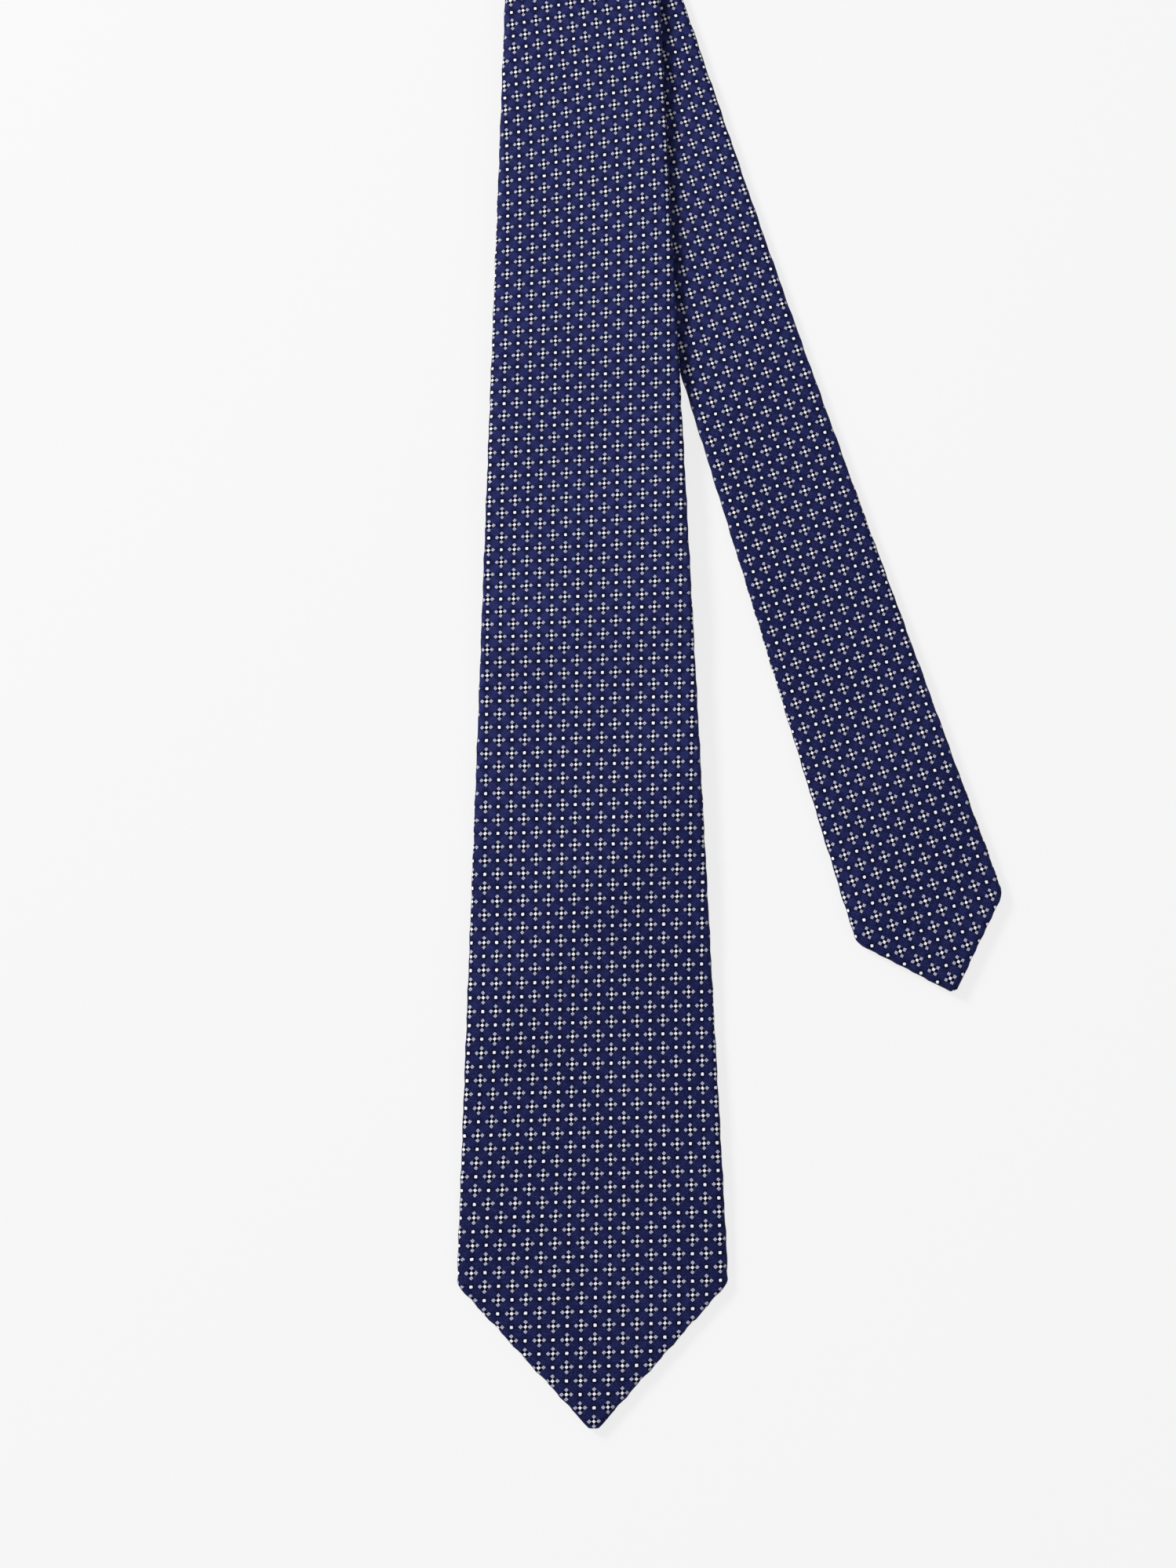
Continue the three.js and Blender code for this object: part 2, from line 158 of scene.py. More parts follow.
BLADE_DEPTH = (BLADE_WIDTH / 2 - BLADE_POINT[0]) / BLADE_POINT[1]  # from the wide tip to the corners
TAIL_DEPTH = (TAIL_WIDTH / 2 - TAIL_POINT[0]) / TAIL_POINT[1]
BLADE_CLOSED = BLADE_DEPTH + BLADE_OPENING
TAIL_CLOSED = TIE_LENGTH - TAIL_DEPTH - TAIL_OPENING
KEEPER_TOP = KEEPER_FROM + KEEPER_WIDTH


def smooth(x, low, high):
    t = np.clip((np.asarray(x, float) - low) / (high - low), 0, 1)
    return t * t * (3 - 2 * t)


def soft_max(a, b, k):
    return (a + b + np.hypot(a - b, k)) / 2


def soft_min(a, b, k):
    return (a + b - np.hypot(a - b, k)) / 2


def half_width(u):
    blade = BLADE_WIDTH - BLADE_TAPER * np.maximum(u - BLADE_DEPTH, 0)
    tail = TAIL_WIDTH - TAIL_TAPER * np.maximum(TIE_LENGTH - u - TAIL_DEPTH, 0)
    full = soft_max(soft_max(blade, NECK_WIDTH, TAPER_BLEND), tail, TAPER_BLEND) / 2
    wide_point = BLADE_POINT[0] + BLADE_POINT[1] * u
    narrow_point = TAIL_POINT[0] + TAIL_POINT[1] * (TIE_LENGTH - u)
    return soft_min(full, np.minimum(wide_point, narrow_point), CORNER_BLEND)


def flap_reach(u):
    half = half_width(u)
    blade_end = u < TIE_LENGTH / 2
    from_tip = np.where(blade_end, u, TIE_LENGTH - u)
    corner = np.where(blade_end, BLADE_DEPTH, TAIL_DEPTH)
    opening = np.where(blade_end, BLADE_OPENING, TAIL_OPENING)
    closed = np.clip((from_tip - corner) / opening, 0, 1)
    short = np.minimum(HEM, half - 0.3)
    return short + (half + LAP - short) * closed


# --- Laying out: two diagonal folds, as in the part ----------------------------------------------
def make_fold(at, radius, side, mirror):
    slant = math.radians(45 + LEG_ANGLE / 4)
    axis = np.array([mirror * math.sin(slant), math.cos(slant)])
    across = np.array([axis[1], -axis[0]])
    if across[1] < 0:
        across = -across
    skew = axis[1] / axis[0]
    length = math.pi * radius / across[1]
    return dict(at=at, radius=radius, side=side, axis=axis, across=across, skew=skew, length=length)


RIGHT_FOLD = make_fold(BLADE_LEG, RIGHT_FOLD_RADIUS, -1, -1)
LEFT_FOLD = make_fold(BLADE_LEG + NECK_RUN, LEFT_FOLD_RADIUS, 1, 1)
RUN_MIDDLE = (RIGHT_FOLD["at"] + RIGHT_FOLD["length"] + LEFT_FOLD["at"]) / 2


def wrap(x, y, z, fold):
    past = x * fold["across"][0] + (y - fold["at"]) * fold["across"][1]
    along = x * fold["axis"][0] + (y - fold["at"]) * fold["axis"][1]
    angle = np.clip(past / fold["radius"], 0, math.pi)
    reach = fold["radius"] - fold["side"] * z
    beyond = np.maximum(past - math.pi * fold["radius"], 0)
    out = reach * np.sin(angle) + np.minimum(past, 0) - beyond
    x = along * fold["axis"][0] + out * fold["across"][0]
    y = fold["at"] + along * fold["axis"][1] + out * fold["across"][1]
    return x, y, fold["side"] * (fold["radius"] - reach * np.cos(angle))


LEG_RADIANS = math.radians(LEG_ANGLE)
CROSSING = BLADE_LEG - NECK_RUN / (2 * math.sin(LEG_RADIANS / 2))
BLADE_OVER_TAIL = CROSSING - (float(half_width(CROSSING)) + NECK_WIDTH / 2) / math.sin(LEG_RADIANS)


def blade_height(u):
    z = TAIL_HEIGHT + TACK_LIFT * smooth(u, BLADE_DEPTH, BLADE_DEPTH + BLADE_OPENING - 2)
    to_keeper = smooth(u, KEEPER_FROM - KEEPER_RISE[0], KEEPER_FROM - KEEPER_RISE[1])
    z = z + (KEEPER_HEIGHT - TAIL_HEIGHT - TACK_LIFT) * to_keeper
    to_crossing = smooth(u, KEEPER_TOP + KEEPER_FALL, BLADE_OVER_TAIL - CROSSING_MARGIN)
    z = z + (CROSSING_HEIGHT - KEEPER_HEIGHT) * to_crossing
    to_fold = smooth(u, CROSSING + CROSSING_FALL, BLADE_LEG - NECK_WIDTH / 2 - FOLD_MARGIN)
    return z + (FOLD_HEIGHT - CROSSING_HEIGHT) * to_fold


def ripple(v, u):
    """Soft unevenness of cloth that lies loosely, upwards only."""
    blade = 0.5 + 0.5 * np.sin(u / 11.5 + 0.9 * np.sin(u / 29) + v / 31)
    blade = BLADE_RIPPLE * blade * smooth(u, *BLADE_RIPPLE_RISE) * (1 - smooth(u, *BLADE_RIPPLE_FALL))
    tail = 0.5 + 0.5 * np.sin(u / 13 + 1.1 * np.sin(u / 37) - v / 24)
    tail = TAIL_RIPPLE * tail * smooth(u, *TAIL_RIPPLE_RISE) * (1 - smooth(u, *TAIL_RIPPLE_FALL))
    across_ridge = (u - RIDGE_AT - RIDGE_SLANT * v) / 1.72
    ridge = RIDGE_HEIGHT * np.exp(-((across_ridge / RIDGE_SPREAD) ** 2))
    ridge = ridge * smooth(u, *RIDGE_RISE) * (1 - smooth(u, *RIDGE_FALL))
    roll = ROLL_HEIGHT * np.exp(-(((u - ROLL_AT - ROLL_SLANT * v) / ROLL_SPREAD) ** 2))
    return blade + tail + ridge + roll


def lay_out(v, u, n):
    """v across the tie, u along it from the wide tip, n out of its front, to the part's frame."""
    v, u, n = np.broadcast_arrays(np.asarray(v, float), np.asarray(u, float), np.asarray(n, float))
    x, y, z = wrap(*wrap(v, u, n, LEFT_FOLD), RIGHT_FOLD)
    tail_from = TIE_LENGTH - TAIL_RISE
    tail_lift = TACK_LIFT * smooth(u, tail_from, tail_from + TAIL_RISE_LENGTH)
    lift = np.where(u < BLADE_LEG - NECK_WIDTH, blade_height(u), FOLD_HEIGHT + tail_lift)
    z = z + lift + ripple(v, u)
    c, s = math.cos(BLADE_LEAN), math.sin(BLADE_LEAN)
    return np.stack([x * c - y * s + SHIFT[0], x * s + y * c + SHIFT[1], z], -1) * MM


# The blade's lift line crosses its centre line at a known place, which gives the part's origin.
lift_point = JOINTS["blade_lift"]["pos_m"]
SHIFT = (
    lift_point[0] / MM + BLADE_BEND * math.sin(BLADE_LEAN),
    lift_point[1] / MM - BLADE_BEND * math.cos(BLADE_LEAN),
)

# --- The woven pattern's lattice: one unit from a cross to the next dot ---------------------------
# Each spacing is its value at the tip and the changes it goes through, each between two places.
BLADE_LATTICE = dict(
    across=(3.87, (-0.324, 20, 130), (-0.25, 220, 420)),
    along=(3.815, (-0.49, 110, 300)),
    slope=(0.019, (0.029, 210, 270), (0.10, 285, 360)),
    first=1.95,
    drift=0.0055,
    lean=-2.1e-4,
    lean_from=320,
)
TAIL_LATTICE = dict(
    across=(3.634, (-0.215, 0, 60), (-0.249, 150, 270)),
    along=(3.758, (-0.310, 35, 120), (-0.259, 150, 270)),
    slope=(-0.024, (-0.006, 120, 190), (0.025, 190, 270)),
    first=3.535,
    drift=0.003,
    lean=1.2e-5,
    lean_from=130,
)


LEAN_UNTIL = 420


def settled(u, spec):
    """A spacing at a distance from the tip, after the changes that it has gone through."""
    value, *changes = spec
    for change, low, high in changes:
        value = value + change * smooth(u, low, high)
    return value


def lattice(s, u, spec, from_tail=False):
    """Columns and rows of the pattern at a place on the cloth; a cross where their sum is even."""
    if from_tail:
        s, u = -s, TIE_LENGTH - u
    along = settled(u, spec["along"])
    stops = np.arange(-20.0, TIE_LENGTH + 20)
    rows = np.cumsum(1 / settled(stops - 0.5, spec["along"]))
    rows = np.interp(u, stops, rows) - np.interp(0, stops, rows)
    leaning = np.maximum(np.minimum(u, LEAN_UNTIL) - spec["lean_from"], 0)
    lean = spec["drift"] * u + spec["lean"] * leaning**2
    column = s / settled(u, spec["across"]) - lean
    return column, rows - (spec["first"] + settled(u, spec["slope"]) * s) / along


# --- Meshes --------------------------------------------------------------------------------------
def new_object(name, co, faces, maps=None):
    mesh = bpy.data.meshes.new(name)
    mesh.from_pydata([], [], [])
    mesh.vertices.add(len(co))
    mesh.vertices.foreach_set("co", np.asarray(co, np.float32).ravel())
    faces = np.asarray(faces, np.int32)
    mesh.loops.add(faces.size)
    mesh.loops.foreach_set("vertex_index", faces.ravel())
    mesh.polygons.add(len(faces))
    mesh.polygons.foreach_set("loop_start", np.arange(0, faces.size, faces.shape[1], dtype=np.int32))
    mesh.update(calc_edges=True)
    for key, values in (maps or {}).items():
        layer = mesh.uv_layers.new(name=key)
        layer.uv.foreach_set("vector", np.asarray(values, np.float32)[faces.ravel()].ravel())
    mesh.polygons.foreach_set("use_smooth", np.ones(len(faces), bool))
    mesh.validate()
    mesh.set_sharp_from_angle(angle=math.radians(50))
    obj = bpy.data.objects.new(name, mesh)
    bpy.context.scene.collection.objects.link(obj)
    return obj


def grid_faces(rows, around):
    """Quads of a closed tube of rows by around points, and of its two flat ends, folded flat."""
    r, k = np.meshgrid(np.arange(rows - 1), np.arange(around), indexing="ij")
    a = r * around + k
    b = r * around + (k + 1) % around
    side = np.stack([a, b, b + around, a + around], -1).reshape(-1, 4)
    half = around // 2
    i = np.arange(half - 1)
    start = np.stack([i, around - 1 - i, around - 2 - i, i + 1], -1)
    last = (rows - 1) * around
    end = np.stack([i + 1, around - 2 - i, around - 1 - i, i], -1) + last
    return np.concatenate([side, start, end])


def cloth_solid(name, u, path, lattice_of, slant=0.0):
    """A sheet with thickness. path(u) gives v, n, normal v, normal n, thickness and the cloth's own
    distance across, each an array of rows by points; slant moves each point along the tie."""
    v, n, dv, dn, thick, s = path(u)
    rows, count = v.shape
    loops = []
    for side in (0.5, -0.5):
        loops.append((v + dv * thick * side, n + dn * thick * side))
    vv = np.concatenate([loops[0][0], loops[1][0][:, ::-1]], 1)
    nn = np.concatenate([loops[0][1], loops[1][1][:, ::-1]], 1)
    ss = np.concatenate([s, s[:, ::-1]], 1)
    uu = u[:, None] + np.broadcast_to(np.asarray(slant, float), (rows,))[:, None] * vv
    co = lay_out(vv, uu, nn).reshape(-1, 3)
    a, b = lattice_of(ss, uu)
    maps = {
        "lattice": np.stack([a, b], -1).reshape(-1, 2),
        "cloth": np.stack([ss, uu], -1).reshape(-1, 2),
    }
    faces = grid_faces(rows, 2 * count)
    obj = new_object(name, co, faces, maps)
    inside_out = signed_volume(co, faces) < 0
    if inside_out:
        obj.data.flip_normals()
    obj["flat_area"] = float(flat_area(ss[:, :count], uu[:, :count]))
    return obj


def signed_volume(co, faces):
    p = co[faces]
    first = np.einsum("ij,ij->i", p[:, 0], np.cross(p[:, 1], p[:, 2]))
    second = np.einsum("ij,ij->i", p[:, 0], np.cross(p[:, 2], p[:, 3]))
    return first.sum() + second.sum()


def flat_area(s, u):
    """Area of the unfolded sheet, in square metres."""
    width = np.abs(s[:, -1] - s[:, 0])
    middle = s.shape[1] // 2
    steps = np.abs(np.diff(u[:, middle]))
    return float(((width[1:] + width[:-1]) / 2 * steps).sum()) * MM * MM


def hem_wave(u):
    """The turned edge beside a point puckers a little between its stitches."""
    near = np.where(u < TIE_LENGTH / 2, u, TIE_LENGTH - u)
    corner = np.where(u < TIE_LENGTH / 2, BLADE_DEPTH, TAIL_DEPTH)
    wave = np.sin(near * 1.72) + 0.5 * np.sin(near * 0.83 + 1)
    return HEM_WAVE * wave * (1 - smooth(near, corner - 3, corner + 8)) * smooth(near, 1, 5)


LEFT_FLAP_COLUMNS = 13
RIGHT_FLAP_COLUMNS = 25
FRONT_COLUMNS = 33
EDGE_COLUMNS = 9
NARROWEST = 0.6  # half-width of a layer's end inside a point
POINT_STEP = 1.2
POINT_ROWS = 44


def silk_path(u):
    """The folded silk: left flap, left edge, front, right edge, right flap."""
    half = half_width(u) + hem_wave(u)
    for height, turns, phase in EDGE_WAVES:
        half = half + height * np.sin(u * turns + phase)
    reach = flap_reach(u)
    turn = (half - EDGE_RADIUS)[:, None]
    free = (half - reach)[:, None]
    climbed = smooth(-free, -12, 2)
    rows = len(u)

    def spread(count):
        return np.linspace(0, 1, count)[None, :]

    def lap_height(v):
        edge = LAP + LAP_MARGIN
        return FLAP_MID + (LAP_MID - FLAP_MID) * smooth(-v, -edge - LAP_SLOPE, -edge) * climbed

    left = -free + (free - turn) * spread(LEFT_FLAP_COLUMNS)
    right = turn + (free - turn) * spread(RIGHT_FLAP_COLUMNS)
    front = -turn + 2 * turn * (0.5 - 0.5 * np.cos(np.pi * spread(FRONT_COLUMNS)))
    arc = np.linspace(-math.pi / 2, math.pi / 2, EDGE_COLUMNS)[None, 1:-1]
    arc_cos = np.cos(arc)
    arc_sin = np.sin(arc)
    ones = np.ones((rows, 1))
    left_s = -(2 * turn + math.pi * EDGE_RADIUS + left)
    left_edge_s = -turn - EDGE_RADIUS * (math.pi / 2 - arc) * ones
    right_edge_s = turn + EDGE_RADIUS * (math.pi / 2 + arc) * ones
    right_s = 2 * turn + math.pi * EDGE_RADIUS - right
    crown = CROWN * (1 - np.abs(front / turn) ** 6)
    pieces = [
        (left, FLAP_MID * ones + 0 * left, 0 * left, 0 * left - 1, left_s),
        (-turn - EDGE_RADIUS * arc_cos, EDGE_CENTRE + EDGE_RADIUS * arc_sin * ones,
         -arc_cos * ones, arc_sin * ones, left_edge_s),
        (front, FRONT_MID + crown, 0 * front, 0 * front + 1, front),
        (turn + EDGE_RADIUS * arc_cos, EDGE_CENTRE - EDGE_RADIUS * arc_sin * ones,
         arc_cos * ones, -arc_sin * ones, right_edge_s),
        (right, lap_height(right), 0 * right, 0 * right - 1, right_s),
    ]
    v, n, dv, dn, s = (np.concatenate([np.broadcast_to(p[i], (rows, p[i].shape[1])) for p in pieces], 1)
                       for i in range(5))
    return v, n, dv, dn, np.full_like(v, SILK), s


def flat_path(inset, height, thick, columns):
    """A flat layer that follows the outline from inside."""

    def path(u):
        half = np.maximum(half_width(u) - inset, NARROWEST)[:, None]
        v = half * np.linspace(-1, 1, columns)[None, :]
        return v, height + 0 * v, 0 * v, 0 * v + 1, np.full_like(v, thick), v

    return path


def strip_path(points, thick, columns=48, lip=0.0):
    """A band across the back through points (v, n), rounded where it bends."""
    pv, pn = np.array(points, float).T
    v = np.linspace(pv[0], pv[-1], columns)
    n = np.interp(v, pv, pn)
    kernel = np.ones(5) / 5
    n = np.convolve(np.pad(n, 2, mode="edge"), kernel, mode="valid")

    def path(u):
        along = np.linspace(-1, 1, len(u))[:, None]
        rim = 1 - lip * np.abs(along) ** 8
        vv = np.broadcast_to(v, (len(u), columns))
        nn = np.broadcast_to(n, (len(u), columns))
        return vv, nn, 0 * vv, 0 * vv + 1, thick * rim * np.ones_like(vv), vv

    return path


def rows_between(low, high, step):
    return np.linspace(low, high, max(2, int(math.ceil((high - low) / step)) + 1))


def point_rows(low, high, step, tip_at_low):
    """Rows that gather towards a point, where the outline narrows."""
    near = POINT_STEP * np.arange(0, POINT_ROWS)
    near = near[near < high - low]
    far = rows_between(near[-1], high - low, step)[1:]
    rows = np.concatenate([near, far])
    return low + rows if tip_at_low else high - rows[::-1]


def slanted(low, high, slant_low, slant_high, rows):
    """How far each row slants: from one end's slant to the other's."""
    t = (rows - low) / (high - low)
    return slant_low + (slant_high - slant_low) * t


def blade_lattice(s, u):
    return lattice(s, u, BLADE_LATTICE)


def tail_lattice(s, u):
    return lattice(s, u, TAIL_LATTICE, from_tail=True)


# --- Materials -----------------------------------------------------------------------------------
class Nodes:
    """Arithmetic on shader sockets, so that a pattern reads as its formula."""

    def __init__(self, tree, socket):
        self.tree, self.socket = tree, socket

    def math(self, operation, *others, clamp=False):
        step = self.tree.nodes.new("ShaderNodeMath")
        step.operation = operation
        step.use_clamp = clamp
        for slot, value in zip(step.inputs, (self, *others)):
            if isinstance(value, Nodes):
                self.tree.links.new(value.socket, slot)
            else:
                slot.default_value = value
        return Nodes(self.tree, step.outputs[0])

    def __add__(self, other):
        return self.math("ADD", other)

    def __sub__(self, other):
        return self.math("SUBTRACT", other)

    def __mul__(self, other):
        return self.math("MULTIPLY", other)

    def abs(self):
        return self.math("ABSOLUTE")

    def max(self, other):
        return self.math("MAXIMUM", other)

    def min(self, other):
        return self.math("MINIMUM", other)

    def below(self, edge, soft):
        """1 where the value is under the edge, 0 above it, with a soft border."""
        ramp = self.tree.nodes.new("ShaderNodeMapRange")
        ramp.interpolation_type = "SMOOTHSTEP"
        self.tree.links.new(self.socket, ramp.inputs["Value"])
        ramp.inputs["From Min"].default_value = edge - soft
        ramp.inputs["From Max"].default_value = edge + soft
        ramp.inputs["To Min"].default_value = 1
        ramp.inputs["To Max"].default_value = 0
        return Nodes(self.tree, ramp.outputs["Result"])


def material(name, rough, specular=0.35, sheen=0.0, sheen_rough=0.4, tint=(1, 1, 1)):
    mat = bpy.data.materials.new(name)
    mat.use_nodes = True
    shader = mat.node_tree.nodes["Principled BSDF"]
    shader.inputs["Roughness"].default_value = rough
    shader.inputs["Specular IOR Level"].default_value = specular
    shader.inputs["Sheen Weight"].default_value = sheen
    shader.inputs["Sheen Roughness"].default_value = sheen_rough
    shader.inputs["Sheen Tint"].default_value = (*tint, 1)
    return mat, mat.node_tree, shader


def node(tree, kind, **values):
    made = tree.nodes.new(kind)
    for key, value in values.items():
        if key in made.inputs:
            made.inputs[key].default_value = value
        else:
            setattr(made, key, value)
    return made


def uv_xy(tree, name):
    uv = node(tree, "ShaderNodeUVMap", uv_map=name)
    split = node(tree, "ShaderNodeSeparateXYZ")
    tree.links.new(uv.outputs["UV"], split.inputs[0])
    return Nodes(tree, split.outputs["X"]), Nodes(tree, split.outputs["Y"]), uv.outputs["UV"]


def mix_color(tree, factor, below, above):
    mix = node(tree, "ShaderNodeMix", data_type="RGBA")
    tree.links.new(factor.socket, mix.inputs["Factor"])
    for slot, value in ((mix.inputs[6], below), (mix.inputs[7], above)):
        if isinstance(value, tuple):
            slot.default_value = (*value, 1)
        else:
            tree.links.new(value, slot)
    return mix.outputs[2]


def noise(tree, vector, scale, detail=2.0, rough=0.5):
    n = node(tree, "ShaderNodeTexNoise", Scale=scale, Detail=detail, Roughness=rough)
    tree.links.new(vector, n.inputs["Vector"])
    return Nodes(tree, n.outputs["Fac"])


GROUND = (0.0056, 0.0078, 0.0500)
GROUND_DARK = (0.0018, 0.0028, 0.0250)
# The paler ground of the woven halos and cushions, and also the colour of the painted sheen and painted
# glints
GROUND_LIGHT = (0.0265, 0.0330, 0.1380)
INK = (0.0006, 0.0006, 0.0040)
PETAL = (0.210, 0.210, 0.290)
PETAL_EDGE = (0.455, 0.455, 0.570)
WHITE = (0.800, 0.800, 0.880)
FLECK = (0.055, 0.055, 0.120)
GLINT = (0.060, 0.070, 0.220)

# The two motifs, in units of the lattice: places, and half diagonals or radii
PETAL_TO_SIDE = 0.342
PETAL_TO_END = 0.350
SIDE_PETAL = (0.156, 0.152)
END_PETAL = (0.150, 0.152)
SIDE_PETAL_EYE = (0.058, 0.066)
END_PETAL_EYE = (0.062, 0.058)
PETAL_TAIL_AT = (0.475, 0.022)
PETAL_TAIL = (0.115, 0.055)
CENTRE = (0.140, 0.146)
CENTRE_EYE = (0.062, 0.026)
NOTCH_AT = (0.150, 0.154)
NOTCH = (0.128, 0.128)
FLECK_AT = (0.238, 0.236)
FLECK_HALF = (0.055, 0.055)
DOT_SQUARENESS = 3.2
DOT_HALF = 0.110
DOT_RING = (0.170, 0.044)  # radius and half-width
DOT_HALO = (0.325, 0.024)
SOFT = 0.03

# Painted sheen: the ground is painted paler beyond this distance from either tip, by a change this soft
SHEEN_PAINTED_FROM = 185
SHEEN_PAINTED_WITHIN = 62


def diamond_at(x, y, half, soft=0.022):
    """1 inside a diamond of the given half diagonals, 0 outside."""
    return (x.abs() * (1 / half[0]) + y.abs() * (1 / half[1])).below(1.0, soft / half[0])


def silk_material():
    """Jacquard silk: crosses of four petals and small dots in turn on a navy ground."""
    tint = (0.4, 0.45, 1.0)
    mat, tree, shader = material("jacquard_silk", 0.42, specular=0.028, sheen=0.003, tint=tint)
    a, b, _ = uv_xy(tree, "lattice")
    s, u, cloth = uv_xy(tree, "cloth")
    # Threads never lie quite straight: a fraction of a millimetre of wander, fine and coarse.
    fine = noise(tree, cloth, 2.6, 1.0) - 0.5
    a = a + (noise(tree, cloth, 0.35, 1.0) - 0.5) * 0.10 + fine * 0.045
    b = b + (noise(tree, cloth, 0.28, 1.0) - 0.5) * 0.08 - fine * 0.045
    column = a.math("ROUND")
    row = b.math("ROUND")
    x = a - column
    y = b - row
    odd = (column + row).math("MULTIPLY", 0.5).math("FRACT")
    is_dot = odd.math("GREATER_THAN", 0.25)
    is_cross = is_dot.math("SUBTRACT", 1).abs()
    xa, ya = x.abs(), y.abs()
    # Cross: a centre, four petals, one of them with a tail, and ink between them
    to_side = (xa - PETAL_TO_SIDE, y - x.max(0.0) * 0.04)
    to_end = (x, ya - PETAL_TO_END)
    petal = diamond_at(*to_side, SIDE_PETAL).max(diamond_at(*to_end, END_PETAL)) * is_cross
    eye = diamond_at(*to_side, SIDE_PETAL_EYE, SOFT)
    petal_eye = eye.max(diamond_at(*to_end, END_PETAL_EYE, SOFT)) * is_cross
    tail = diamond_at(x - PETAL_TAIL_AT[0], y - PETAL_TAIL_AT[1], PETAL_TAIL, SOFT) * is_cross
    centre = diamond_at(x, y, CENTRE) * is_cross
    centre_eye = diamond_at(x + y, x - y, CENTRE_EYE, 0.02) * is_cross
    notch = diamond_at(xa - NOTCH_AT[0], ya - NOTCH_AT[1], NOTCH, SOFT) * is_cross
    fleck = diamond_at(x - FLECK_AT[0], ya - FLECK_AT[1], FLECK_HALF, SOFT) * is_cross
    # Dot: a rounded square with a dark ring and a thin pale one
    power = xa.math("POWER", DOT_SQUARENESS) + ya.math("POWER", DOT_SQUARENESS)
    power = power.math("POWER", 1 / DOT_SQUARENESS)
    radius = (x * x + y * y).math("SQRT")
    dot = power.below(DOT_HALF, 0.018) * is_dot
    dot_ring = (radius - DOT_RING[0]).abs().below(DOT_RING[1], 0.028) * is_dot
    halo = (radius - DOT_HALO[0]).abs().below(DOT_HALO[1], SOFT) * is_dot
    # Ground: painted glints where twill threads catch the light in specks, soft patches, and a painted sheen
    # that grows paler further up
    mottle = noise(tree, cloth, 0.55, 3.0, 0.6)
    speck = noise(tree, cloth, 2.3, 2.0, 0.75)
    grain = noise(tree, cloth, 4.6, 1.0, 0.6)
    slant = (s * 0.8 + u).math("MULTIPLY", 5.6).math("SINE") * 0.5 + 0.5
    # Broad patches of painted sheen
    broad = noise(tree, cloth, 0.03, 2.0)
    pale = (speck * 0.6 + grain * 0.4 - 0.46).math("MULTIPLY", 6.5, clamp=True)
    deep = (speck * 0.5 + grain * 0.5 - 0.53).math("MULTIPLY", -8.0, clamp=True)
    from_corner = ((xa - 0.5) * (xa - 0.5) + (ya - 0.5) * (ya - 0.5)).math("SQRT")
    cushion = (from_corner + (speck - 0.5) * 0.45).below(0.34, 0.11)
    from_tip = u.min(u * -1 + TIE_LENGTH)
    # Painted sheen: 0 near either tip, -1 further up the tie
    sheen_far_from_tips = from_tip.below(SHEEN_PAINTED_FROM, SHEEN_PAINTED_WITHIN) - 1
    color = mix_color(tree, mottle.math("MULTIPLY_ADD", 2.4, -0.7, clamp=True), GROUND_DARK, GROUND)
    color = mix_color(tree, deep * 0.75, color, GROUND_DARK)
    color = mix_color(tree, pale * (mottle * 0.8 + 0.10), color, GROUND_LIGHT)
    color = mix_color(tree, halo * 0.42, color, GROUND_LIGHT)
    color = mix_color(tree, slant * 0.14, color, INK)
    # Painted light: the blade's left side is painted paler from 115 to 215 mm above its tip, as if it turned
    # a little to the light
    turned = s.below(-6, 20) * u.below(215, 35) * (u.below(115, 25) * -1 + 1)
    # Painted sheen: broad patches, paler away from the tips and on the blade's left side, strongest on the
    # cushions
    painted_sheen = broad.math("MULTIPLY_ADD", 3.6, -1.45, clamp=True) * 0.22 - sheen_far_from_tips * 0.38 + turned * 0.14
    color = mix_color(tree, painted_sheen * (cushion * 0.75 + 0.35), color, GROUND_LIGHT)
    color = mix_color(tree, cushion * 0.12, color, GROUND_LIGHT)
    color = mix_color(tree, cushion * -0.50 + 0.50, color, GROUND_DARK)
    color = mix_color(tree, deep * 0.45, color, GROUND_DARK)
    color = mix_color(tree, pale * 0.15, color, GLINT)
    color = mix_color(tree, dot_ring * 0.88, color, INK)
    color = mix_color(tree, notch * 0.96, color, INK)
    color = mix_color(tree, fleck * 0.55, color, FLECK)
    color = mix_color(tree, tail * 0.75, color, PETAL)
    color = mix_color(tree, petal, color, PETAL_EDGE)
    color = mix_color(tree, petal_eye * 0.85, color, PETAL)
    color = mix_color(tree, (deep * 0.5) * petal, color, PETAL)
    color = mix_color(tree, centre, color, WHITE)
    color = mix_color(tree, centre_eye * 0.55, color, PETAL_EDGE)
    color = mix_color(tree, dot, color, WHITE)
    tree.links.new(color, shader.inputs["Base Color"])
    # Relief: the motifs float above the ground, and fine ribs of thread cover everything
    raised = (petal + centre + dot).math("MINIMUM", 1.0)
    rib = (s.math("MULTIPLY", 21.0).math("SINE") * u.math("MULTIPLY", 21.0).math("SINE")) * 0.5
    relief = raised * 0.50 + cushion * 0.60 + rib * 0.10 + slant * 0.16 + speck * 0.45
    bump = node(tree, "ShaderNodeBump", Strength=0.70, Distance=0.00018)
    tree.links.new(relief.socket, bump.inputs["Height"])
    tree.links.new(bump.outputs["Normal"], shader.inputs["Normal"])
    rough = mottle.math("MULTIPLY_ADD", 0.16, 0.36) + raised * 0.10
    tree.links.new(rough.socket, shader.inputs["Roughness"])
    return mat


